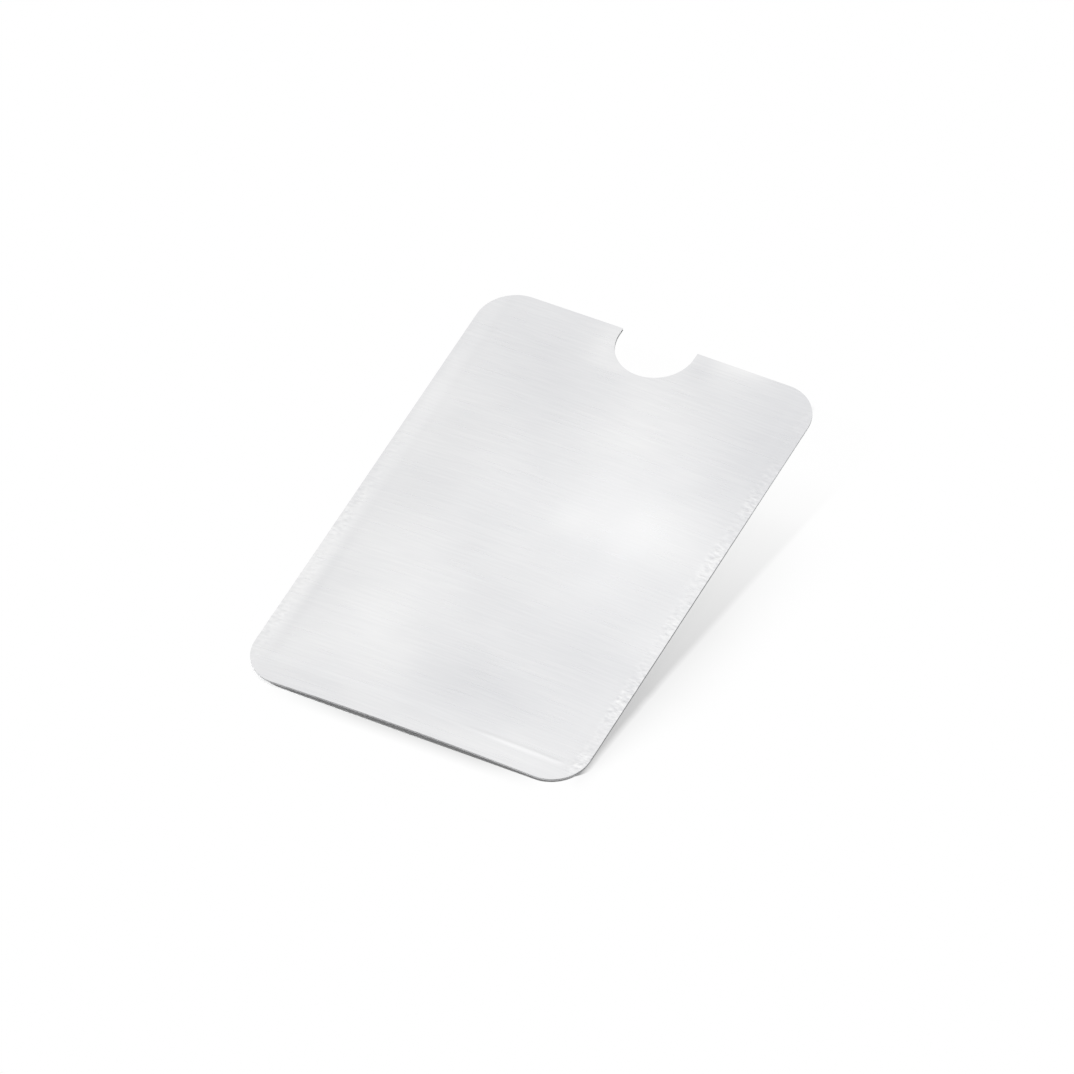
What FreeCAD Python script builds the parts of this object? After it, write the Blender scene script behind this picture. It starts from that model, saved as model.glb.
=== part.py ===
"""Card sleeve: a flat pouch of aluminium foil and heat-seal film for one bank-card-sized card.

Two laminate walls lie on each other. The back wall is flat. The front wall is pressed down onto welded film strips
along both long sides and the bottom, and steps up over the pocket between them. The far end is the open mouth, with a
thumb notch cut through both walls. One die outline trims every ply.

Frame: millimetres, origin under the middle of the sleeve, +Y towards the mouth, +Z out of the front wall.
"""
import FreeCAD, Part
import math
import os

# The card that the pocket takes, and the play around it
CARD_WIDTH = 53.98
CARD_LENGTH = 85.60
CARD_THICKNESS = 0.76
SIDE_PLAY = 0.20
BOTTOM_PLAY = 0.20
MOUTH_MARGIN = 0.40
THICKNESS_PLAY = 0.14

# Plies of the laminate: foil outside, heat-seal film inside
FOIL_THICKNESS = 0.10
FILM_THICKNESS = 0.10

# Welded strips along the edges
SIDE_SEAL_WIDTH = 3.00
BOTTOM_SEAL_WIDTH = 4.00

# Shoulder where the front wall rises from the seals to the pocket
SHOULDER_ANGLE = 60.0
FOOT_BEND_RADIUS = 0.15
CROWN_BEND_RADIUS = 0.15

# Die outline
CORNER_RADIUS = 6.80
NOTCH_WIDTH = 14.00
NOTCH_DEPTH = 8.30

# How far the cutting tools reach past what they trim
OVERCUT = 2.0

# Heights of the plies, from the back face up
back_film_z = FOIL_THICKNESS
weld_z = back_film_z + FILM_THICKNESS
pocket_gap = CARD_THICKNESS + THICKNESS_PLAY
pocket_top_z = weld_z + pocket_gap
wall_thickness = FILM_THICKNESS + FOIL_THICKNESS
front_face_z = pocket_top_z + wall_thickness

# Bends of the front wall's inside face. The foot curls away from the pocket, so the foil outside it bends tighter.
slope = math.radians(SHOULDER_ANGLE)
foot_radius = FOOT_BEND_RADIUS + wall_thickness
crown_radius = CROWN_BEND_RADIUS
straight_rise = pocket_gap - (foot_radius + crown_radius) * (1 - math.cos(slope))
shoulder_run = (foot_radius + crown_radius) * math.sin(slope) + straight_rise / math.tan(slope)

# Plan sizes: the raised panel over the card, the pocket out to the seals, and the whole sleeve
panel_half = CARD_WIDTH / 2 + SIDE_PLAY
pocket_half = panel_half + shoulder_run
sleeve_half = pocket_half + SIDE_SEAL_WIDTH
sleeve_length = BOTTOM_SEAL_WIDTH + shoulder_run + BOTTOM_PLAY + CARD_LENGTH + MOUTH_MARGIN
mouth_y = sleeve_length / 2
bottom_y = -mouth_y
pocket_bottom_y = bottom_y + BOTTOM_SEAL_WIDTH
panel_bottom_y = pocket_bottom_y + shoulder_run


def vector(x, y, z):
    return FreeCAD.Vector(x, y, z)


def line(start, end):
    return Part.LineSegment(start, end).toShape()


def arc(start, middle, end):
    return Part.Arc(start, middle, end).toShape()


def block(x_low, x_high, y_low, y_high, z_low, z_high):
    """A box between two corners."""
    return Part.makeBox(x_high - x_low, y_high - y_low, z_high - z_low, vector(x_low, y_low, z_low))


def prism(points, z_low, z_high):
    """An upright prism on a plan polygon."""
    corners = [vector(x, y, z_low) for x, y in points]
    face = Part.Face(Part.makePolygon(corners + corners[:1]))
    return face.extrude(vector(0, 0, z_high - z_low))


def die_blank():
    """The solid that the die punches out of the sheet stack: rounded corners, and the U-shaped notch at the mouth."""
    radius = CORNER_RADIUS
    diagonal = radius * math.sqrt(0.5)
    inner_x = sleeve_half - radius
    inner_y = mouth_y - radius
    notch_radius = NOTCH_WIDTH / 2
    notch_centre_y = mouth_y - NOTCH_DEPTH + notch_radius
    z = -OVERCUT

    def corner(x_sign, y_sign, side_first):
        side = vector(x_sign * sleeve_half, y_sign * inner_y, z)
        end = vector(x_sign * inner_x, y_sign * mouth_y, z)
        middle = vector(x_sign * (inner_x + diagonal), y_sign * (inner_y + diagonal), z)
        return arc(side, middle, end) if side_first else arc(end, middle, side)

    edges = [
        line(vector(-inner_x, bottom_y, z), vector(inner_x, bottom_y, z)),
        corner(1, -1, False),
        line(vector(sleeve_half, -inner_y, z), vector(sleeve_half, inner_y, z)),
        corner(1, 1, True),
        line(vector(inner_x, mouth_y, z), vector(notch_radius, mouth_y, z)),
        line(vector(notch_radius, mouth_y, z), vector(notch_radius, notch_centre_y, z)),
        arc(vector(notch_radius, notch_centre_y, z), vector(0, mouth_y - NOTCH_DEPTH, z),
            vector(-notch_radius, notch_centre_y, z)),
        line(vector(-notch_radius, notch_centre_y, z), vector(-notch_radius, mouth_y, z)),
        line(vector(-notch_radius, mouth_y, z), vector(-inner_x, mouth_y, z)),
        corner(-1, 1, False),
        line(vector(-sleeve_half, inner_y, z), vector(-sleeve_half, -inner_y, z)),
        corner(-1, -1, True),
    ]
    return Part.Face(Part.Wire(edges)).extrude(vector(0, 0, front_face_z + 2 * OVERCUT))


def shoulder_edges(place, side, lift):
    """One shoulder of the front wall, from the weld up to the panel, as arc, straight and arc.

    place maps a distance along the wall's section and a height to a point, side is the direction that leads into the
    pocket (1 or -1), and lift is the face's height above the wall's inside face. All faces share the bends' centres.
    """
    foot = foot_radius - lift
    crown = crown_radius + lift
    low = weld_z + lift
    high = pocket_top_z + lift

    def foot_point(angle):
        return place(side * foot * math.sin(angle), low + foot * (1 - math.cos(angle)))

    def crown_point(angle):
        return place(side * (shoulder_run - crown * math.sin(angle)), high - crown * (1 - math.cos(angle)))

    return [
        arc(foot_point(0), foot_point(slope / 2), foot_point(slope)),
        line(foot_point(slope), crown_point(slope)),
        arc(crown_point(slope), crown_point(slope / 2), crown_point(0)),
    ]


def section_solid(runs, along):
    """A closed section, made of loose edges in order, carried along a straight path."""
    return Part.Face(Part.Wire(Part.__sortEdges__(runs))).extrude(along)


def under_front_wall(lift):
    """The solid under one face of the front wall: a section across the width meets a section along the length.

    Where the two cross, the side shoulders and the bottom shoulder run into each other on a mitre line.
    """
    low = weld_z + lift
    high = pocket_top_z + lift
    base = -OVERCUT
    reach_x = sleeve_half + OVERCUT
    reach_y = mouth_y + OVERCUT

    def across(x):
        return lambda distance, z: vector(x + distance, -reach_y, z)

    left = shoulder_edges(across(-pocket_half), 1, lift)
    right = shoulder_edges(across(pocket_half), -1, lift)
    width_section = left + right + [
        line(vector(-reach_x, -reach_y, low), vector(-pocket_half, -reach_y, low)),
        line(vector(-panel_half, -reach_y, high), vector(panel_half, -reach_y, high)),
        line(vector(pocket_half, -reach_y, low), vector(reach_x, -reach_y, low)),
        line(vector(reach_x, -reach_y, low), vector(reach_x, -reach_y, base)),
        line(vector(reach_x, -reach_y, base), vector(-reach_x, -reach_y, base)),
        line(vector(-reach_x, -reach_y, base), vector(-reach_x, -reach_y, low)),
    ]

    def lengthwise(distance, z):
        return vector(-reach_x, pocket_bottom_y + distance, z)

    length_section = shoulder_edges(lengthwise, 1, lift) + [
        line(vector(-reach_x, -reach_y, low), vector(-reach_x, pocket_bottom_y, low)),
        line(vector(-reach_x, panel_bottom_y, high), vector(-reach_x, reach_y, high)),
        line(vector(-reach_x, reach_y, high), vector(-reach_x, reach_y, base)),
        line(vector(-reach_x, reach_y, base), vector(-reach_x, -reach_y, base)),
        line(vector(-reach_x, -reach_y, base), vector(-reach_x, -reach_y, low)),
    ]
    across_solid = section_solid(width_section, vector(0, 2 * reach_y, 0))
    along_solid = section_solid(length_section, vector(2 * reach_x, 0, 0))
    return across_solid.common(along_solid)


def seal_region(side):
    """The plan share of the left (-1), right (1) or bottom (0) seal, parted on 45 degree mitres at the pocket corners."""
    reach = 2 * (sleeve_half + mouth_y)
    outside = pocket_half + reach
    if side == 0:
        outline = [
            (0, pocket_bottom_y + pocket_half),
            (-outside, pocket_bottom_y - reach),
            (outside, pocket_bottom_y - reach),
        ]
    else:
        outline = [
            (0, pocket_bottom_y + pocket_half),
            (side * outside, pocket_bottom_y - reach),
            (side * outside, mouth_y + reach),
            (0, mouth_y + reach),
        ]
    return prism(outline, -OVERCUT, front_face_z + OVERCUT)


def back_foil(blank):
    """Flat outer ply of the back wall."""
    sheet = block(-sleeve_half, sleeve_half, bottom_y, mouth_y, 0, back_film_z)
    return sheet.common(blank)


def back_liner(blank):
    """Flat film inside the back wall, out to the welds."""
    film = block(-pocket_half, pocket_half, pocket_bottom_y, mouth_y, back_film_z, weld_z)
    return film.common(blank)


def front_film_ply():
    """The whole film of the front wall, before the die and before it is parted into liner and seals."""
    return under_front_wall(FILM_THICKNESS).cut(under_front_wall(0))


def front_liner(blank, film):
    """Film inside the raised panel of the front wall."""
    panel = block(-panel_half, panel_half, panel_bottom_y, mouth_y, pocket_top_z - OVERCUT, front_face_z)
    return film.common(panel).common(blank)


def seal_strip(blank, film, side):
    """Film of both walls welded into one strip, with the lip of the front film that climbs to the panel."""
    panel = block(-panel_half, panel_half, panel_bottom_y, mouth_y + 2 * OVERCUT, 0, front_face_z)
    pocket = block(-pocket_half, pocket_half, pocket_bottom_y, mouth_y + 2 * OVERCUT, 0, front_face_z)
    back_film = block(-sleeve_half, sleeve_half, bottom_y, mouth_y, back_film_z, weld_z).cut(pocket)
    welded = film.cut(panel).fuse(back_film)
    return welded.common(seal_region(side)).common(blank).removeSplitter()


def front_foil(blank):
    """Outer ply of the front wall, with its flat rim, bent shoulders and raised panel."""
    sheet = under_front_wall(wall_thickness).cut(under_front_wall(FILM_THICKNESS))
    return sheet.common(blank).removeSplitter()


blank = die_blank()
film = front_film_ply()
pieces = {
    "back_foil": back_foil(blank),
    "back_liner": back_liner(blank),
    "left_seal": seal_strip(blank, film, -1),
    "right_seal": seal_strip(blank, film, 1),
    "bottom_seal": seal_strip(blank, film, 0),
    "front_liner": front_liner(blank, film),
    "front_foil": front_foil(blank),
}
os.makedirs("parts", exist_ok=True)
for name, shape in pieces.items():
    if not shape.isValid() or len(shape.Solids) != 1:
        raise ValueError(f"{name} should be one valid solid, and has {len(shape.Solids)}")
    shape.Solids[0].exportStep(f"parts/{name}.step")
    box = shape.BoundBox
    print(f"{name}: {box.XLength:.3f} x {box.YLength:.3f} x {box.ZLength:.3f} mm, {shape.Volume:.1f} mm3")
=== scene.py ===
"""Looks of the foil card sleeve, built on the CAD frame.

Brushed foil walls with milky heat-seal film inside, welded along both sides and the bottom, on a plain white table.
"""
import math

import bpy
import numpy as np
from mathutils import Matrix, Vector


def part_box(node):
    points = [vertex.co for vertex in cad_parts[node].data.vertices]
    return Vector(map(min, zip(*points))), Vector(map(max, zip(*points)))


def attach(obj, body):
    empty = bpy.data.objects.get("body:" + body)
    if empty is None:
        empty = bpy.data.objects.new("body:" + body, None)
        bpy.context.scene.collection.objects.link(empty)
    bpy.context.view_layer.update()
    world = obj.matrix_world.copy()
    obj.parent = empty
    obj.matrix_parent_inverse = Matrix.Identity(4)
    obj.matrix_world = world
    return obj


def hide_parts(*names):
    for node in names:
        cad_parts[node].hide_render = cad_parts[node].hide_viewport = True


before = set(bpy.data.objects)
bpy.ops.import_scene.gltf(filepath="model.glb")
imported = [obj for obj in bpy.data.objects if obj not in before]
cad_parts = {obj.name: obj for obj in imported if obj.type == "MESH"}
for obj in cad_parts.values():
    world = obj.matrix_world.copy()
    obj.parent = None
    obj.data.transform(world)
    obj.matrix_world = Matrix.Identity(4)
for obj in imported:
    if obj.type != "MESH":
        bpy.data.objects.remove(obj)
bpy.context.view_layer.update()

# Back foil: the outer ply of the back wall, thin aluminium foil with a fine brushed finish.
# It is punched out together with every other ply, with round corners and a thumb notch at the mouth.
# The finished sleeve bows a little across its width, most at the bottom edge, and all plies share that bow.
MM = 0.001
back_low, back_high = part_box("back_foil")
HALF_WIDTH = back_high.x
HALF_LENGTH = back_high.y
FOIL = back_high.z - back_low.z
CORNER_RADIUS = 6.8 * MM
STRAIGHT_END = HALF_WIDTH - CORNER_RADIUS
NOTCH_RADIUS = 7.0 * MM
NOTCH_DEPTH = 8.3 * MM
NOTCH_CENTRE_Y = HALF_LENGTH - NOTCH_DEPTH + NOTCH_RADIUS
NOTCH_FAN = 0.9 * MM
FAN_END = NOTCH_RADIUS + NOTCH_FAN


def smooth_step(value):
    """Rises from 0 to 1 as value does, flat at both ends: three times its square less twice its cube."""
    t = np.clip(value, 0.0, 1.0)
    return t * t * (3.0 - 2.0 * t)


def fade(value, start, end):
    """A smooth step from 0 where value is start to 1 where it is end."""
    return smooth_step((value - start) / (end - start))


def bottom_outline(x):
    """Where the sleeve's bottom edge lies in y at each x: straight, then a quarter circle at each corner."""
    past = np.clip(np.abs(x) - STRAIGHT_END, 0.0, CORNER_RADIUS)
    return -(HALF_LENGTH - CORNER_RADIUS + np.sqrt(CORNER_RADIUS**2 - past**2))


def mouth_outline(x):
    """Where the column that starts at x ends on the mouth's edge, as x and y.

    Over the notch it ends on a half circle, beside it on the notch's straight side, then on the straight edge, and last
    on the corner's quarter circle. The columns beside the notch fan over, so the straight side gets a few of them.
    """
    side = np.abs(x)
    over_notch = NOTCH_CENTRE_Y - np.sqrt(np.clip(NOTCH_RADIUS**2 - x**2, 0.0, None))
    up_side = NOTCH_CENTRE_Y + (side - NOTCH_RADIUS) / NOTCH_FAN * (HALF_LENGTH - NOTCH_CENTRE_Y)
    along = NOTCH_RADIUS + (side - FAN_END) * (STRAIGHT_END - NOTCH_RADIUS) / (STRAIGHT_END - FAN_END)
    zones = [side <= NOTCH_RADIUS, side <= FAN_END, side <= STRAIGHT_END]
    end_x = np.select(zones, [side, np.full_like(side, NOTCH_RADIUS), along], side)
    end_y = np.select(zones, [over_notch, up_side, np.full_like(side, HALF_LENGTH)], -bottom_outline(x))
    return np.sign(x) * end_x, end_y


ROUND_COLUMNS = 25
FAN_COLUMNS = 6
STRAIGHT_COLUMNS = 16
SHEET_ROWS = 330
ROW_CROWDING = 0.55
SLIDE_START = 0.88
LEAST_GAP = 0.02 * MM
SAME_COLUMN_DIGITS = 8


def plan_grid(left, right, bottom, rows=SHEET_ROWS):
    """Plan points of a ply between two x limits, from the outline or a bottom limit up to the mouth.

    One parameter picks the column: columns stand at even angles round the corners and the notch. The other runs up the
    column, mixed with its own square so that rows lie closer over the bottom seal. Near the mouth a column slides over
    to its end on the outline.
    """
    quarter = np.sin(np.linspace(0.0, math.pi / 2, ROUND_COLUMNS))
    half = np.concatenate([
        NOTCH_RADIUS * quarter,
        np.linspace(NOTCH_RADIUS, FAN_END, FAN_COLUMNS),
        np.linspace(FAN_END, STRAIGHT_END, STRAIGHT_COLUMNS),
        STRAIGHT_END + CORNER_RADIUS * quarter,
    ])
    every = np.unique(np.round(np.concatenate([-half, half]), SAME_COLUMN_DIGITS))
    between = every[(every > left + LEAST_GAP) & (every < right - LEAST_GAP)]
    column = np.concatenate([[left], between, [right]])
    start_y = np.maximum(bottom_outline(column), bottom)
    end_x, end_y = mouth_outline(column)
    even = np.linspace(0.0, 1.0, rows)
    share = ((1 - ROW_CROWDING) * even + ROW_CROWDING * even**2)[:, None]
    x = column + fade(share, SLIDE_START, 1.0) * (end_x - column)
    y = start_y + share * (end_y - start_y)
    return x, y


LATTICE_SIZE = 256


def lattice_noise(x, y, cell_x, cell_y, seed):
    """Random heights from -1 to 1 on a lattice.

    A point's height is blended by smooth steps from the four lattice points round it.
    """
    heights = np.random.default_rng(seed).uniform(-1.0, 1.0, (LATTICE_SIZE, LATTICE_SIZE))
    u = x / cell_x + LATTICE_SIZE / 2
    v = y / cell_y + LATTICE_SIZE / 2
    column = np.floor(u).astype(int)
    row = np.floor(v).astype(int)
    across = smooth_step(u - column)
    along = smooth_step(v - row)

    def height_at(rows_on, columns_on):
        return heights[(row + rows_on) % LATTICE_SIZE, (column + columns_on) % LATTICE_SIZE]

    near = height_at(0, 0) * (1 - across) + height_at(0, 1) * across
    far = height_at(1, 0) * (1 - across) + height_at(1, 1) * across
    return near * (1 - along) + far * along


BOW_RISE = 0.85 * MM
SIDE_SEAL = 3.0 * MM
RIGHT_CREASE_LOSS = 0.8
RIGHT_CREASE_FADE = (10 * MM, 35 * MM)
LEFT_CREASE = 0.6
LEFT_CREASE_LOSS = 0.5
LEFT_CREASE_FADE = (-10 * MM, 20 * MM)
PATCH_CELL = (5 * MM, 4 * MM)
PATCH_SEED = 5
PATCH_MIDDLE = 0.65
PATCH_SWING = 0.6
PATCH_LEAST = 0.35
CREASE_HEIGHT = 0.07 * MM
CREASE_CUTOFF = 0.1
REST_LIFT = 0.03 * MM


def bow_height(x, y):
    """The bow: a parabola across the width, whose rise falls evenly from the bottom edge to nothing at the mouth."""
    from_mouth = (HALF_LENGTH - y) / (2 * HALF_LENGTH)
    return BOW_RISE * from_mouth * (1 - (x / HALF_WIDTH) ** 2)


def crease_share(x, y):
    """How creased the foil is: 1 on the lower right weld, less on the left one, dying out towards the mouth.

    Smooth steps fade it over the inner half of the weld's width and along the weld.
    """
    on_weld = 1 - fade(HALF_WIDTH - np.abs(x), 0.5 * SIDE_SEAL, SIDE_SEAL)
    right = 1 - RIGHT_CREASE_LOSS * fade(y, *RIGHT_CREASE_FADE)
    left = LEFT_CREASE - LEFT_CREASE_LOSS * fade(y, *LEFT_CREASE_FADE)
    return on_weld * np.where(x > 0, right, left)


def crease_patches(x, y):
    """Broad noise, cut off at both ends, that makes the creases come and go along the welds."""
    return np.clip(PATCH_MIDDLE + PATCH_SWING * lattice_noise(x, y, *PATCH_CELL, PATCH_SEED), PATCH_LEAST, 1.0)


def sleeve_form(x, y):
    """Height that all plies share: the bow, and the creases of the welds.

    The creases are the tops of noise on two lattices, turned either way from the length, so that small bumps stand up
    from a flat weld, more in some patches than in others.
    """
    bumps = np.zeros_like(x)
    for slant, cell_x, cell_y, seed in ((0.55, 1.0 * MM, 0.6 * MM, 3), (-0.75, 0.75 * MM, 0.5 * MM, 8)):
        turned_x = x * math.cos(slant) + y * math.sin(slant)
        turned_y = y * math.cos(slant) - x * math.sin(slant)
        bumps = bumps + np.maximum(lattice_noise(turned_x, turned_y, cell_x, cell_y, seed) - CREASE_CUTOFF, 0.0)
    return REST_LIFT + bow_height(x, y) + CREASE_HEIGHT * bumps * crease_patches(x, y) * crease_share(x, y)


# Centre in x and y and reach in x and y, in mm, then the amount: above 0 is brighter, below 0 is duller. The spots are
# partly wear and partly painted highlights and painted shade from reflections.
WEAR_AND_SHEEN_SPOTS = (
    (19, 7, 7.5, 6.5, 0.8),
    (5, 4.5, 6, 4.5, 0.65),
    (5, 27, 7, 13, 0.75),
    (-16, -20, 12, 17, 0.95),
    (-25, -36, 6, 6, 0.4),
    (-30, -25, 2.2, 15, 0.85),
    (15, -43.5, 14, 1.5, 0.5),
    (18.5, -41.4, 7, 0.45, 0.45),
    (13, 45, 8, 2.5, 0.5),
    (-9, 41, 3, 5, 0.35),
    (-30, 14, 5, 18, 0.45),
    (18, -40.5, 5, 4, 0.5),
    (-7, -34, 5, 5, 0.4),
    (-7.6, 41.5, 2, 3.5, 0.6),
    (-4.5, 37.3, 3.5, 2, 0.55),
    (16, 45.3, 4, 1.2, 0.7),
    (-20, 43, 6, 4, 0.5),
    (-27, -22, 1.2, 12, -0.28),
    (-20, 40, 15, 9, -0.6),
    (28, 34, 9, 16, -0.95),
    (8, -35, 12, 8, -0.75),
    (-2, -14, 9, 7, -0.4),
    (21, -20, 8, 10, -0.85),
    (-8, 20, 9, 9, -0.3),
    (-9, -5, 7, 6, -0.45),
    (9, 43, 2.5, 3.5, -0.8),
    (-31, 18, 0.9, 22, -0.45),
)


def wear_and_sheen(x, y):
    """Where the foil is brighter or duller, partly wear and partly painted highlights and shade: the sum of soft spots,
    each a bell in x and y.
    """
    total = np.zeros_like(x)
    for centre_x, centre_y, reach_x, reach_y, amount in WEAR_AND_SHEEN_SPOTS:
        away = ((x / MM - centre_x) / reach_x) ** 2 + ((y / MM - centre_y) / reach_y) ** 2
        total = total + amount * np.exp(-away)
    return total


# Painted light on the cut edge: how far each patch lifts the edge's darker colour.
UPPER_RIGHT_EDGE_LIGHT = 0.8
LOWER_RIGHT_EDGE_LIGHT = 0.4


def edge_light_share(x, y):
    """Where painted light lifts the dark cut edge, from 0 to 1: the greatest of three patches, each a product of smooth
    steps.

    They lie on the upper right edge, on the right half of the bottom edge and round the notch.
    """
    upper_right = UPPER_RIGHT_EDGE_LIGHT * fade(y, 0.0, 28 * MM) * fade(x, 20 * MM, 28 * MM)
    lower_right = LOWER_RIGHT_EDGE_LIGHT * fade(y, -36 * MM, -40 * MM) * fade(x, 2 * MM, 20 * MM)
    round_notch = fade(y, 36 * MM, 38 * MM) * fade(np.abs(x), 10 * MM, 8 * MM)
    return np.maximum(np.maximum(upper_right, lower_right), round_notch)


SHARP_ANGLE = math.radians(50)


def ply_object(name, x, y, z_low, z_high):
    """A closed sheet on a plan grid: an upper and a lower surface of quads, joined by a wall round the rim.

    Its points carry how creased the sheet is and its wear with painted sheen. Its faces carry how dark the cut edge is,
    partly its own colour and partly painted shade: 0 on both surfaces, and on the wall 1 less the painted light.
    """
    rows, columns = x.shape
    upper = np.stack([x, y, z_high], -1).reshape(-1, 3)
    lower = np.stack([x, y, z_low], -1).reshape(-1, 3)
    index = np.arange(rows * columns).reshape(rows, columns)
    quads = np.stack([index[:-1, :-1], index[:-1, 1:], index[1:, 1:], index[1:, :-1]], -1).reshape(-1, 4)
    rim = np.concatenate([index[0, :-1], index[:-1, -1], index[-1, :0:-1], index[:0:-1, 0]])
    follow = np.roll(rim, -1)
    below = rows * columns
    wall = np.stack([rim + below, follow + below, follow, rim], -1)
    faces = np.concatenate([quads, quads[:, ::-1] + below, wall])
    mesh = bpy.data.meshes.new(name)
    mesh.from_pydata(np.concatenate([upper, lower]).tolist(), [], faces.tolist())
    mesh.shade_smooth()
    mesh.set_sharp_from_angle(angle=SHARP_ANGLE)
    creased = crease_share(x, y) * crease_patches(x, y)
    for label, values in (("crease_share", creased), ("wear_and_sheen", wear_and_sheen(x, y))):
        layer = mesh.attributes.new(label, "FLOAT", "POINT")
        layer.data.foreach_set("value", np.tile(values.reshape(-1), 2).astype(np.float32))
    # The dark wall is partly the cut's own colour and partly painted shade.
    wall_shade = 1 - edge_light_share(x, y).reshape(-1)[rim]
    edge_shade = np.concatenate([np.zeros(2 * len(quads)), wall_shade]).astype(np.float32)
    mesh.attributes.new("cut_edge_shade", "FLOAT", "FACE").data.foreach_set("value", edge_shade)
    piece = bpy.data.objects.new(name, mesh)
    bpy.context.scene.collection.objects.link(piece)
    return piece


def place(piece, node, material):
    """The piece stands for its CAD node, rides on the sleeve's one body and takes its finish from a slot."""
    piece.data.materials.append(material)
    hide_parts(node)
    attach(piece, "root")


def socket_pair(tree, from_node, from_socket, to_node, to_socket):
    """Links two sockets by name."""
    tree.links.new(from_node.outputs[from_socket], to_node.inputs[to_socket])


def noise_node(tree, vector, scale, detail, roughness):
    """A noise texture of values on a vector."""
    node = tree.nodes.new("ShaderNodeTexNoise")
    node.inputs["Scale"].default_value = scale
    node.inputs["Detail"].default_value = detail
    node.inputs["Roughness"].default_value = roughness
    tree.links.new(vector, node.inputs["Vector"])
    return node


LONG_STREAKS = ((75.0, 1900.0, 1.0), 0.0, 1.0, 0.45)
SHORT_STREAKS = ((170.0, 3000.0, 1.0), math.radians(1.5), 0.0, 0.5)
SHORT_STREAK_SHARE = 0.45
FOIL_PATTERNS = {
    "Cloud": ((42.0, 60.0, 1.0), 0.4, 2.0, 0.45),
    "Dents": ((230.0, 260.0, 1.0), 0.2, 2.0, 0.5),
    "Flecks": ((850.0, 1700.0, 1.0), 0.55, 1.0, 0.5),
}


def brushed_group():
    """Shared brushed finish. Streaks are noise drawn out across the width, in a long and a short length.

    Cloud is broad soft mottling of the foil, Dents are the small soft hollows of handled foil, and Flecks are the fine
    marks of its creases, painted as glints and shade on them. Each pattern is a scale, a turn, and the noise's detail
    and roughness.
    """
    group = bpy.data.node_groups.new("brushed_finish", "ShaderNodeTree")
    for name in ("Streaks", *FOIL_PATTERNS):
        group.interface.new_socket(name=name, in_out="OUTPUT", socket_type="NodeSocketFloat")
    coordinates = group.nodes.new("ShaderNodeTexCoord")
    result = group.nodes.new("NodeGroupOutput")

    def stretched_noise(scale, turn, detail, roughness):
        mapping = group.nodes.new("ShaderNodeMapping")
        mapping.inputs["Scale"].default_value = scale
        mapping.inputs["Rotation"].default_value = (0.0, 0.0, turn)
        socket_pair(group, coordinates, "Object", mapping, "Vector")
        return noise_node(group, mapping.outputs["Vector"], 1.0, detail, roughness)

    streaks = group.nodes.new("ShaderNodeMix")
    streaks.inputs["Factor"].default_value = SHORT_STREAK_SHARE
    socket_pair(group, stretched_noise(*LONG_STREAKS), "Fac", streaks, "A")
    socket_pair(group, stretched_noise(*SHORT_STREAKS), "Fac", streaks, "B")
    socket_pair(group, streaks, "Result", result, "Streaks")
    for name, pattern in FOIL_PATTERNS.items():
        socket_pair(group, stretched_noise(*pattern), "Fac", result, name)
    return group


CUT_ROUGHNESS = 0.65


def cut_edge_group():
    """Shared cut edge: on the rim that the die has cut, the colour turns to a darker one, partly the cut's own colour
    and partly painted shade, and the gloss goes.

    The mask is the ply's own attribute, 1 on the faces of its rim, less where painted light lifts them, and 0
    elsewhere.
    """
    group = bpy.data.node_groups.new("cut_edge_finish", "ShaderNodeTree")
    for name, kind in (("Color", "NodeSocketColor"), ("Roughness", "NodeSocketFloat")):
        group.interface.new_socket(name=name, in_out="INPUT", socket_type=kind)
        group.interface.new_socket(name=name, in_out="OUTPUT", socket_type=kind)
    group.interface.new_socket(name="Cut Shade Color", in_out="INPUT", socket_type="NodeSocketColor")
    given = group.nodes.new("NodeGroupInput")
    result = group.nodes.new("NodeGroupOutput")
    edge_shade = group.nodes.new("ShaderNodeAttribute")
    edge_shade.attribute_name = "cut_edge_shade"
    # A Mix node's sockets for colours share their names with those for values, so they go by number.
    colour = group.nodes.new("ShaderNodeMix")
    colour.data_type = "RGBA"
    group.links.new(edge_shade.outputs["Fac"], colour.inputs[0])
    group.links.new(given.outputs["Color"], colour.inputs[6])
    group.links.new(given.outputs["Cut Shade Color"], colour.inputs[7])
    group.links.new(colour.outputs[2], result.inputs["Color"])
    gloss = group.nodes.new("ShaderNodeMix")
    gloss.inputs["B"].default_value = CUT_ROUGHNESS
    socket_pair(group, edge_shade, "Fac", gloss, "Factor")
    socket_pair(group, given, "Roughness", gloss, "A")
    socket_pair(group, gloss, "Result", result, "Roughness")
    return group


def finish_edges(tree, shader, edge_finish, colour, roughness, cut_colour):
    """Feeds a colour and a roughness to the shader by way of the cut edge."""
    edge = tree.nodes.new("ShaderNodeGroup")
    edge.node_tree = edge_finish
    edge.inputs["Cut Shade Color"].default_value = (*cut_colour, 1.0)
    tree.links.new(colour, edge.inputs["Color"])
    tree.links.new(roughness, edge.inputs["Roughness"])
    socket_pair(tree, edge, "Color", shader, "Base Color")
    socket_pair(tree, edge, "Roughness", shader, "Roughness")


def ramp_node(tree, value, low, high, low_colour, high_colour):
    """A colour ramp between two colours over part of a value's range."""
    node = tree.nodes.new("ShaderNodeValToRGB")
    node.color_ramp.elements[0].position = low
    node.color_ramp.elements[1].position = high
    node.color_ramp.elements[0].color = (*low_colour, 1.0)
    node.color_ramp.elements[1].color = (*high_colour, 1.0)
    tree.links.new(value, node.inputs["Fac"])
    return node


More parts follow.
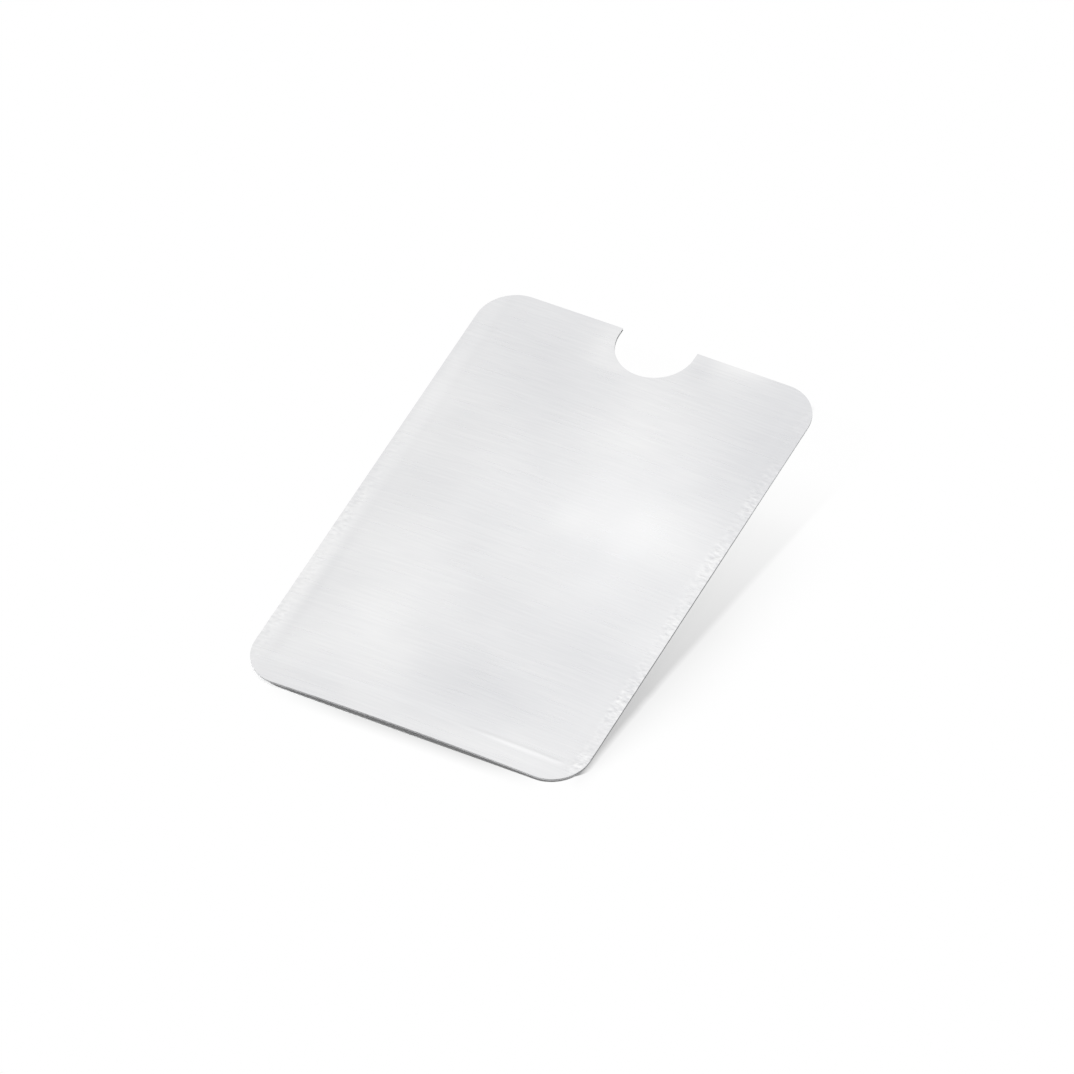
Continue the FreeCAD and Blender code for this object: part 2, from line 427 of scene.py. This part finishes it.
def range_node(tree, value, from_low, from_high, to_low, to_high):
    """A value carried from one range to another, and held at its ends."""
    node = tree.nodes.new("ShaderNodeMapRange")
    node.inputs["From Min"].default_value = from_low
    node.inputs["From Max"].default_value = from_high
    node.inputs["To Min"].default_value = to_low
    node.inputs["To Max"].default_value = to_high
    tree.links.new(value, node.inputs["Value"])
    return node.outputs["Result"]


def math_node(tree, operation, first, second):
    """Two values, or a value and a number, put together."""
    node = tree.nodes.new("ShaderNodeMath")
    node.operation = operation
    for socket, value in zip(node.inputs, (first, second)):
        if isinstance(value, (int, float)):
            socket.default_value = value
        else:
            tree.links.new(value, socket)
    return node.outputs["Value"]


def attribute_value(tree, label):
    """A value that the sheet's own points carry."""
    node = tree.nodes.new("ShaderNodeAttribute")
    node.attribute_name = label
    return node.outputs["Fac"]


def bump_surface(tree, shader, height, strength, distance):
    """Gives the shader a bumped surface from a height."""
    bump = tree.nodes.new("ShaderNodeBump")
    bump.inputs["Strength"].default_value = strength
    bump.inputs["Distance"].default_value = distance
    tree.links.new(height, bump.inputs["Height"])
    socket_pair(tree, bump, "Normal", shader, "Normal")


FOIL_DULL = (0.705, 0.708, 0.724)
FOIL_BRIGHT = (0.86, 0.86, 0.862)
# Colour of the foil's cut edge: partly its own darker colour and partly painted shade.
FOIL_CUT_SHADE = (0.58, 0.58, 0.59)
NOISE_RANGE = (0.3, 0.7)
STREAK_WEIGHT = 0.31
CLOUD_WEIGHT = 0.3
WEAR_AND_SHEEN_WEIGHT = 0.18
CREASE_GLINT_TONES = (-0.16, 0.26)
FOIL_TONES = (0.105, 0.505)
FOIL_ROUGHNESS = (0.26, 0.36)
DENT_RELIEF = 0.02
FLECK_RELIEF = 0.10


def foil_material(name, finish, edge_finish):
    """Brushed aluminium foil: a metal whose tone is a weighted sum of streaks, mottling, wear with painted sheen, and
    flecks that paint glints and shade on the creases.

    The roughness follows the streaks, and the relief is a weighted sum of dents and flecks.
    """
    material = bpy.data.materials.new(name)
    material.use_nodes = True
    tree = material.node_tree
    shader = tree.nodes["Principled BSDF"]
    shader.inputs["Metallic"].default_value = 1.0
    brushed = tree.nodes.new("ShaderNodeGroup")
    brushed.node_tree = finish

    def weighted(value, weight):
        return math_node(tree, "MULTIPLY", value, weight)

    def total(first, second):
        return math_node(tree, "ADD", first, second)

    streaks = brushed.outputs["Streaks"]
    # Crease flecks: painted glints and painted shade on the creases, also used below as their relief.
    flecks = range_node(tree, brushed.outputs["Flecks"], *NOISE_RANGE, *CREASE_GLINT_TONES)
    flecks = weighted(flecks, attribute_value(tree, "crease_share"))
    tone = total(weighted(streaks, STREAK_WEIGHT), weighted(brushed.outputs["Cloud"], CLOUD_WEIGHT))
    # Wear and painted sheen: real wear mixed with painted highlights and painted shade from reflections.
    tone = total(tone, weighted(attribute_value(tree, "wear_and_sheen"), WEAR_AND_SHEEN_WEIGHT))
    tone = total(tone, flecks)
    colour = ramp_node(tree, tone, *FOIL_TONES, FOIL_DULL, FOIL_BRIGHT)
    roughness = range_node(tree, streaks, *NOISE_RANGE, *FOIL_ROUGHNESS)
    finish_edges(tree, shader, edge_finish, colour.outputs["Color"], roughness, FOIL_CUT_SHADE)
    relief = total(weighted(brushed.outputs["Dents"], DENT_RELIEF), weighted(flecks, FLECK_RELIEF))
    bump_surface(tree, shader, relief, 1.0, MM)
    return material


brushed_finish = brushed_group()
cut_finish = cut_edge_group()
back_finish = foil_material("back_brushed_foil", brushed_finish, cut_finish)
x, y = plan_grid(-HALF_WIDTH, HALF_WIDTH, -HALF_LENGTH)
shared = sleeve_form(x, y)
back_sheet = ply_object("back_foil_sheet", x, y, shared, shared + FOIL)
place(back_sheet, "back_foil", back_finish)

# Back liner: the milky heat-seal film on the inside of the back wall, between the welds.
# It is laminated to the foil and shows only in the mouth and the notch.
pocket_low, pocket_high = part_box("back_liner")
FILM = pocket_high.z - FOIL
POCKET_HALF = pocket_high.x
POCKET_BOTTOM = pocket_low.y
FILM_DULL = (0.78, 0.79, 0.79)
FILM_BRIGHT = (0.85, 0.86, 0.86)
# Colour of the film's cut edge: partly its own darker colour and partly painted shade.
FILM_CUT_SHADE = (0.52, 0.52, 0.53)
FILM_MOTTLE = (350.0, 3.0, 0.55)
FILM_TONES = (0.35, 0.65)
FILM_ROUGHNESS = (0.38, 0.52)
FILM_BUMP = 0.4
FILM_RELIEF = 0.02 * MM


def film_material(name, edge_finish, dull, bright):
    """Milky plastic film: one faint mottling noise sets its colour, its gloss and a slightly uneven surface."""
    material = bpy.data.materials.new(name)
    material.use_nodes = True
    tree = material.node_tree
    shader = tree.nodes["Principled BSDF"]
    coordinates = tree.nodes.new("ShaderNodeTexCoord")
    mottle = noise_node(tree, coordinates.outputs["Object"], *FILM_MOTTLE).outputs["Fac"]
    colour = ramp_node(tree, mottle, *FILM_TONES, dull, bright)
    roughness = range_node(tree, mottle, *NOISE_RANGE, *FILM_ROUGHNESS)
    finish_edges(tree, shader, edge_finish, colour.outputs["Color"], roughness, FILM_CUT_SHADE)
    bump_surface(tree, shader, mottle, FILM_BUMP, FILM_RELIEF)
    return material


film_finish = film_material("milky_film", cut_finish, FILM_DULL, FILM_BRIGHT)
x, y = plan_grid(-POCKET_HALF, POCKET_HALF, POCKET_BOTTOM)
shared = sleeve_form(x, y)
back_film = ply_object("back_liner_film", x, y, shared + FOIL, shared + FOIL + FILM)
place(back_film, "back_liner", film_finish)

# Seal strips: the film of both walls, welded into one strip along each side and along the bottom.
# Heat and pressure leave the side welds finely creased, right through the foil on both faces.
WELD_DULL = (0.74, 0.75, 0.76)
WELD_BRIGHT = (0.83, 0.84, 0.84)
WELD_TOP = FOIL + 2 * FILM
BOTTOM_STRIP_ROWS = 24
weld_finish = film_material("welded_film", cut_finish, WELD_DULL, WELD_BRIGHT)
strips = {
    "left_seal": (-HALF_WIDTH, -POCKET_HALF),
    "right_seal": (POCKET_HALF, HALF_WIDTH),
}
for node, (left, right) in strips.items():
    x, y = plan_grid(left, right, -HALF_LENGTH)
    shared = sleeve_form(x, y)
    strip = ply_object(node + "_strip", x, y, shared + FOIL, shared + WELD_TOP)
    place(strip, node, weld_finish)
# The bottom strip takes the same columns, upright, and squeezes their rows in under the pocket.
x, y = plan_grid(-POCKET_HALF, POCKET_HALF, -HALF_LENGTH, rows=BOTTOM_STRIP_ROWS)
climb = (y - y[0]) / (y[-1] - y[0])
x = np.broadcast_to(x[0], x.shape).copy()
y = bottom_outline(x) + climb * (POCKET_BOTTOM - bottom_outline(x))
shared = sleeve_form(x, y)
bottom_strip = ply_object("bottom_seal_strip", x, y, shared + FOIL, shared + WELD_TOP)
place(bottom_strip, "bottom_seal", weld_finish)

# Front liner: the milky film on the inside of the front wall, over the pocket.
# The front wall rises from the welds over a shoulder and swells over the pocket, and closes up towards the mouth.
SHOULDER = 2.0 * MM
SHOULDER_RISE = 0.05 * MM
PANEL_LIFT = 0.75 * MM
MOUTH_GAPE = 0.10 * MM
GAPE_REACH = 45.0 * MM
SWELL_REACH_X = 16.0 * MM
SWELL_REACH_Y = 20.0 * MM
RIDGE_RISE = 0.10 * MM
RIDGE_WIDTH = 0.42 * MM
RIDGE_INSET = 0.3 * MM
RIDGE_START = (5.0 * MM, 19.0 * MM)
RIDGE_END = 2.0 * MM
WAVE_HEIGHT = 0.035 * MM
WAVE_HOLD = 6.0 * MM
BROAD_WAVES = (17 * MM, 21 * MM, 21)
SMALL_WAVES = (9 * MM, 11 * MM, 34)
SMALL_WAVE_SHARE = 0.5


def pocket_rise(x, y):
    """How far the front wall stands off the welds: a shoulder just inside them, a broad swell, a ridge and soft waves.

    Shoulder and swell are products of smooth steps in from the side and bottom welds. The swell takes up the room left
    between the bow and a flat panel, and closes up again towards the mouth. The ridge is a bell-shaped line along the
    bottom weld's inner edge, on the right-hand half. The waves are broad noise, held down near the welds.
    """
    from_side = POCKET_HALF - np.abs(x)
    from_bottom = y - POCKET_BOTTOM

    def in_from_welds(reach_x, reach_y):
        return smooth_step(from_side / reach_x) * smooth_step(from_bottom / reach_y)

    shoulder = SHOULDER_RISE * in_from_welds(SHOULDER, SHOULDER)
    closing = smooth_step((HALF_LENGTH - y) / GAPE_REACH)
    room = MOUTH_GAPE + closing * np.maximum(PANEL_LIFT - MOUTH_GAPE - bow_height(x, y) - SHOULDER_RISE, 0.0)
    swell = room * in_from_welds(SWELL_REACH_X, SWELL_REACH_Y)
    ridge = RIDGE_RISE * np.exp(-((from_bottom - RIDGE_INSET) / RIDGE_WIDTH) ** 2)
    ridge = ridge * fade(x, *RIDGE_START) * smooth_step((POCKET_HALF - x) / RIDGE_END)
    noise = lattice_noise(x, y, *BROAD_WAVES) + SMALL_WAVE_SHARE * lattice_noise(x, y, *SMALL_WAVES)
    waves = WAVE_HEIGHT * (1 + noise) * in_from_welds(WAVE_HOLD, WAVE_HOLD)
    return shoulder + swell + ridge + waves


x, y = plan_grid(-POCKET_HALF, POCKET_HALF, POCKET_BOTTOM)
inside = sleeve_form(x, y) + pocket_rise(x, y) + FOIL + FILM
front_film = ply_object("front_liner_film", x, y, inside, inside + FILM)
place(front_film, "front_liner", film_finish)

# Front foil: the outer ply of the front wall, brushed aluminium foil like the back.
# It lies on the welds along three edges, rises over the pocket, and shows the sleeve's whole face.
front_finish = foil_material("front_brushed_foil", brushed_finish, cut_finish)
x, y = plan_grid(-HALF_WIDTH, HALF_WIDTH, -HALF_LENGTH)
outside = sleeve_form(x, y) + pocket_rise(x, y) + WELD_TOP
front_sheet = ply_object("front_foil_sheet", x, y, outside, outside + FOIL)
place(front_sheet, "front_foil", front_finish)

# Floor: a plain white table under the sleeve, not part of it. It meets the bottom edge and falls away slightly towards
# the mouth, so that the open end stands a little clear of it. To the eye and in mirrors it glows white, and the lit
# table with the lamp's shadow shows through that glow only under the sleeve and in a wedge along its right side.
FLOOR_HALF = 1.6
FLOOR_FALL = math.tan(math.radians(1.8))
FALL_START_Y = -40 * MM
FALL_END_Y = 250 * MM
TURN_SOFTNESS = 4 * MM
TABLE_WHITE = (0.92, 0.92, 0.92, 1.0)
TABLE_ROUGHNESS = 0.9


def soft_ramp(past):
    """0 before a line and the distance past it after, rounded at the turn: half of the sum of past and a hyperbola."""
    return 0.5 * (past + np.sqrt(past**2 + TURN_SOFTNESS**2))


near_rows = np.linspace(-80 * MM, 20 * MM, 41)
far_rows = np.linspace(40 * MM, 400 * MM, 19)
floor_y = np.concatenate([[-FLOOR_HALF], near_rows, far_rows, [FLOOR_HALF]])
floor_z = -FLOOR_FALL * (soft_ramp(floor_y - FALL_START_Y) - soft_ramp(floor_y - FALL_END_Y))
floor_left = np.column_stack([np.full_like(floor_y, -FLOOR_HALF), floor_y, floor_z])
floor_right = np.column_stack([np.full_like(floor_y, FLOOR_HALF), floor_y, floor_z])
count = len(floor_y)
step = np.arange(count - 1)
floor_faces = np.column_stack([step, step + count, step + count + 1, step + 1])
floor_mesh = bpy.data.meshes.new("table")
floor_mesh.from_pydata(np.concatenate([floor_left, floor_right]).tolist(), [], floor_faces.tolist())
floor_mesh.shade_smooth()
table = bpy.data.objects.new("table", floor_mesh)
bpy.context.scene.collection.objects.link(table)
table_white = bpy.data.materials.new("white_table")
table_white.use_nodes = True
table_tree = table_white.node_tree
table_shader = table_tree.nodes["Principled BSDF"]
table_shader.inputs["Base Color"].default_value = TABLE_WHITE
table_shader.inputs["Roughness"].default_value = TABLE_ROUGHNESS
table_shader.inputs["Specular IOR Level"].default_value = 0.0
table_place = table_tree.nodes.new("ShaderNodeTexCoord")
table_axes = table_tree.nodes.new("ShaderNodeSeparateXYZ")
socket_pair(table_tree, table_place, "Object", table_axes, "Vector")
table_x = table_axes.outputs["X"]
table_y = table_axes.outputs["Y"]


def table_math(operation, first, second):
    """Two of the table's values, or a value and a number, put together."""
    return math_node(table_tree, operation, first, second)


def table_fade(value, start, end, at_start, at_end):
    """One of the table's values in metres, carried from a range in mm to another range and held at its ends."""
    return range_node(table_tree, value, start * MM, end * MM, at_start, at_end)


def table_product(first, *others):
    """Several of the table's values multiplied."""
    for other in others:
        first = table_math("MULTIPLY", first, other)
    return first


# Distance from the sleeve's core, which is its outline drawn in by the corner radius and left open at the mouth.
CORE_HALF_WIDTH = 24.2 * MM
CORE_BOTTOM_Y = -38.7 * MM
beyond_side = table_math("SUBTRACT", table_math("ABSOLUTE", table_x, 0.0), CORE_HALF_WIDTH)
corner_x = table_math("MAXIMUM", beyond_side, 0.0)
corner_y = table_math("MAXIMUM", table_math("SUBTRACT", CORE_BOTTOM_Y, table_y), 0.0)
corner_square = table_math("ADD", table_product(corner_x, corner_x), table_product(corner_y, corner_y))
from_corner = table_math("POWER", corner_square, 0.5)

# Under the sleeve: all of the lit table, in from both sides, the bottom edge and the mouth with its notch. The table
# lies lower there, so the patch that shows through the notch lies a little to the left of it.
NOTCH_SHIFT = 1.5 * MM
NOTCH_END_Y = 39.5 * MM
MOUTH_END_Y = 47.0 * MM
off_notch = table_math("ABSOLUTE", table_math("ADD", table_x, NOTCH_SHIFT), 0.0)
mouth_end = table_fade(off_notch, 7.8, 10.0, NOTCH_END_Y, MOUTH_END_Y)
under = table_product(
    table_fade(table_x, -31.6, -30.8, 0.0, 1.0),  # in from the left
    table_fade(table_x, 29.0, 27.0, 0.0, 1.0),  # in from the right
    table_fade(table_math("SUBTRACT", table_y, mouth_end), 0.0, -5.5, 0.0, 1.0),  # in from the mouth
    table_fade(from_corner, 6.6, 6.9, 1.0, 0.0),  # in from the bottom and its corners
)

# Beside the sleeve: a painted shadow wedge out to a curved edge, a parabola of y. Its outline and depth are painted,
# and the lamp's real shadow shows only inside it. Its stops are a place in y, in mm, and how much of the lit table
# shows there: most at the bottom edge, and less and less towards the mouth.
EDGE_CURVE = 0.58043
EDGE_SLOPE = 0.13981
EDGE_START = 0.035894
CORNER_REACH = 7.0 * MM
FRONT_REACH = 6.82 * MM
SIDE_REACH = 33.0 * MM
WEDGE_SPAN = 60
WEDGE_STOPS = (
    (-60, 0.0), (-52, 0.12), (-46.3, 0.2), (-45.9, 0.4), (-45.75, 1.0), (-44, 0.9), (-38, 0.48), (-30, 0.434),
    (-22, 0.398), (-14, 0.306), (-6, 0.222), (2, 0.18), (10, 0.128), (18, 0.09), (24, 0.043), (32, 0.005),
)
wedge_depth = table_tree.nodes.new("ShaderNodeValToRGB")
ramp = wedge_depth.color_ramp
while len(ramp.elements) < len(WEDGE_STOPS):
    ramp.elements.new(0.5)
for element, (at_y, depth) in zip(ramp.elements, WEDGE_STOPS):
    element.position = (at_y + WEDGE_SPAN) / (2 * WEDGE_SPAN)
    element.color = (depth, depth, depth, 1.0)
table_tree.links.new(table_fade(table_y, -WEDGE_SPAN, WEDGE_SPAN, 0.0, 1.0), wedge_depth.inputs["Fac"])
edge_slope = table_math("ADD", table_math("MULTIPLY", table_y, EDGE_CURVE), EDGE_SLOPE)
shadow_edge = table_math("ADD", table_math("MULTIPLY", edge_slope, table_y), EDGE_START)
past_edge = table_math("SUBTRACT", table_x, shadow_edge)
past_shadow = table_math("MINIMUM", past_edge, table_math("SUBTRACT", from_corner, CORNER_REACH))
front_reach = table_math(
    "MAXIMUM",
    table_fade(table_x, -4.0, 12.0, CORNER_REACH, FRONT_REACH),
    table_fade(table_y, -42.5, 20.0, FRONT_REACH, SIDE_REACH),
)
past_front = table_math("SUBTRACT", from_corner, front_reach)
beside = table_product(
    wedge_depth.outputs["Color"],
    table_fade(table_x, -31.0, -25.0, 0.0, 1.0),  # in from the left
    table_fade(past_shadow, -0.6, 0.6, 1.0, 0.0),  # soft along the curved edge
    table_fade(past_front, 0.0, 0.12, 1.0, 0.0),  # crisp along the bottom edge
    table_fade(table_x, 30.5, 32.5, 1.2, 1.0),  # deeper close to the right edge
)

# Halos, a painted shadow: the glow is a little dimmer just past the wedge and just in front of the bottom edge.
SIDE_HALO = 0.12
SIDE_HALO_POWER = 2.0
FRONT_HALO = 0.22
FRONT_HALO_POWER = 1.3
halo_reach = table_fade(table_y, -40.0, -20.0, 3.0 * MM, 12.0 * MM)
halo_share = range_node(table_tree, table_math("DIVIDE", past_shadow, halo_reach), 0.0, 1.0, 1.0, 0.0)
side_halo = table_product(
    table_math("POWER", halo_share, SIDE_HALO_POWER),
    table_fade(table_y, -6.0, 22.0, 1.0, 0.0),  # gone towards the mouth
    table_fade(table_x, 28.0, 31.0, 0.0, 1.0),  # only beyond the right edge
    table_fade(table_y, -45.0, -38.0, 0.0, 1.0),  # gone at the bottom corner
)
front_halo = table_product(
    table_math("POWER", table_fade(from_corner, 6.8, 9.5, 1.0, 0.0), FRONT_HALO_POWER),
    table_fade(table_x, -25.0, -8.0, 0.0, 1.0),  # gone towards the left corner
    table_fade(table_x, 14.0, 26.0, 1.0, 0.0),  # gone towards the right corner
    table_fade(table_y, -40.0, -44.0, 0.0, 1.0),  # only in front of the bottom edge
)
halo_painted_shadow = table_math("MAXIMUM", table_product(side_halo, SIDE_HALO), table_product(front_halo, FRONT_HALO))
table_glow = table_tree.nodes.new("ShaderNodeEmission")
table_tree.links.new(table_math("SUBTRACT", 1.0, halo_painted_shadow), table_glow.inputs["Strength"])

# Rays from the eye, from mirrors and through glass see the glow, and rays that carry light see the lit table.
table_path = table_tree.nodes.new("ShaderNodeLightPath")
seen = table_math("MAXIMUM", table_path.outputs["Is Camera Ray"], table_path.outputs["Is Glossy Ray"])
seen = table_math("MAXIMUM", seen, table_path.outputs["Is Transmission Ray"])
lit_share = table_math("MAXIMUM", table_math("MAXIMUM", beside, under), table_math("SUBTRACT", 1.0, seen))
table_mix = table_tree.nodes.new("ShaderNodeMixShader")
table_tree.links.new(lit_share, table_mix.inputs[0])
table_tree.links.new(table_glow.outputs["Emission"], table_mix.inputs[1])
table_tree.links.new(table_shader.outputs["BSDF"], table_mix.inputs[2])
socket_pair(table_tree, table_mix, "Shader", table_tree.nodes["Material Output"], "Surface")
table.data.materials.append(table_white)

# Light: a white room that is brightest overhead, a low lamp on the left that throws the sleeve's shadow to the right,
# and a small softbox that the face mirrors towards the camera.
MIRRORED_LEVEL = 1.75
PLAIN_LEVEL = 0.30
ROOM_HORIZON = (0.26, 0.26, 0.27)
ROOM_HALFWAY = (0.50, 0.50, 0.505)
ROOM_OVERHEAD = (0.70, 0.70, 0.70)
world = bpy.data.worlds.new("white_room")
bpy.context.scene.world = world
world.use_nodes = True
room = world.node_tree
background = room.nodes["Background"]
light_path = room.nodes.new("ShaderNodeLightPath")
direction = room.nodes.new("ShaderNodeTexCoord")
split = room.nodes.new("ShaderNodeSeparateXYZ")
socket_pair(room, direction, "Generated", split, "Vector")
overhead = ramp_node(room, split.outputs["Z"], 0.0, 1.0, ROOM_HORIZON, ROOM_OVERHEAD)
overhead.color_ramp.elements.new(0.5).color = (*ROOM_HALFWAY, 1.0)
glossy_rays = light_path.outputs["Is Glossy Ray"]
mirrored = math_node(room, "MAXIMUM", glossy_rays, light_path.outputs["Is Transmission Ray"])
plain = range_node(room, light_path.outputs["Is Camera Ray"], 0.0, 1.0, PLAIN_LEVEL, 1.0)
strength = room.nodes.new("ShaderNodeMix")
room.links.new(mirrored, strength.inputs["Factor"])
room.links.new(plain, strength.inputs["A"])
room.links.new(math_node(room, "MULTIPLY", overhead.outputs["Color"], MIRRORED_LEVEL), strength.inputs["B"])
socket_pair(room, strength, "Result", background, "Strength")
background.inputs["Color"].default_value = (1.0, 1.0, 1.0, 1.0)

LAMP_ENERGY = 8.2
LAMP_SPREAD = math.radians(3.0)
LAMP_HEIGHT = math.radians(15.5)
LAMP_BEHIND = 0.02
sun = bpy.data.lights.new("low_lamp", "SUN")
sun.energy = LAMP_ENERGY
sun.angle = LAMP_SPREAD
low_lamp = bpy.data.objects.new("low_lamp", sun)
lamp_way = Vector((-1.0, LAMP_BEHIND, math.tan(LAMP_HEIGHT)))
low_lamp.rotation_euler = lamp_way.to_track_quat("Z", "Y").to_euler()
low_lamp.visible_glossy = False
bpy.context.scene.collection.objects.link(low_lamp)

SOFTBOX_SIZE = 20 * MM
SOFTBOX_ENERGY = 0.0004
SOFTBOX_DISTANCE = 110 * MM
MIRROR_SPOT = Vector((0.018, 0.006, 0.001))
MIRROR_WAY = Vector((-0.361, 0.5385, 0.761))
panel = bpy.data.lights.new("softbox", "AREA")
panel.size = SOFTBOX_SIZE
panel.energy = SOFTBOX_ENERGY
softbox = bpy.data.objects.new("softbox", panel)
softbox.location = MIRROR_SPOT + SOFTBOX_DISTANCE * MIRROR_WAY
softbox.rotation_euler = MIRROR_WAY.to_track_quat("Z", "Y").to_euler()
softbox.visible_camera = False
bpy.context.scene.collection.objects.link(softbox)

# Camera: the photograph's view, a long lens from the front right, turned slightly about its own axis.
# Its place was found by fitting the sleeve's outline.
AZIMUTH = math.radians(33.26)
ELEVATION = math.radians(49.50)
ROLL = math.radians(-7.15)
DISTANCE = 1.9688
SENSOR = 36.0
FRAME_PIXELS = 1074.0
FOCAL_PIXELS = 12000.0
OFFSET_RIGHT = 0.65 * MM
OFFSET_UP = -0.33 * MM
back_axis = Vector((
    math.sin(AZIMUTH) * math.cos(ELEVATION),
    -math.cos(AZIMUTH) * math.cos(ELEVATION),
    math.sin(ELEVATION),
))
level = Vector((math.cos(AZIMUTH), math.sin(AZIMUTH), 0.0))
rise = back_axis.cross(level)
right_axis = math.cos(ROLL) * level + math.sin(ROLL) * rise
up_axis = -math.sin(ROLL) * level + math.cos(ROLL) * rise
lens = bpy.data.cameras.new("long_lens")
lens.sensor_width = SENSOR
lens.lens = SENSOR * FOCAL_PIXELS / FRAME_PIXELS
camera = bpy.data.objects.new("camera", lens)
place_at = DISTANCE * back_axis + OFFSET_RIGHT * right_axis + OFFSET_UP * up_axis
turn = Matrix((right_axis, up_axis, back_axis)).transposed().to_4x4()
camera.matrix_world = Matrix.Translation(place_at) @ turn
bpy.context.scene.collection.objects.link(camera)
bpy.context.scene.camera = camera
bpy.context.scene.view_settings.view_transform = "Standard"
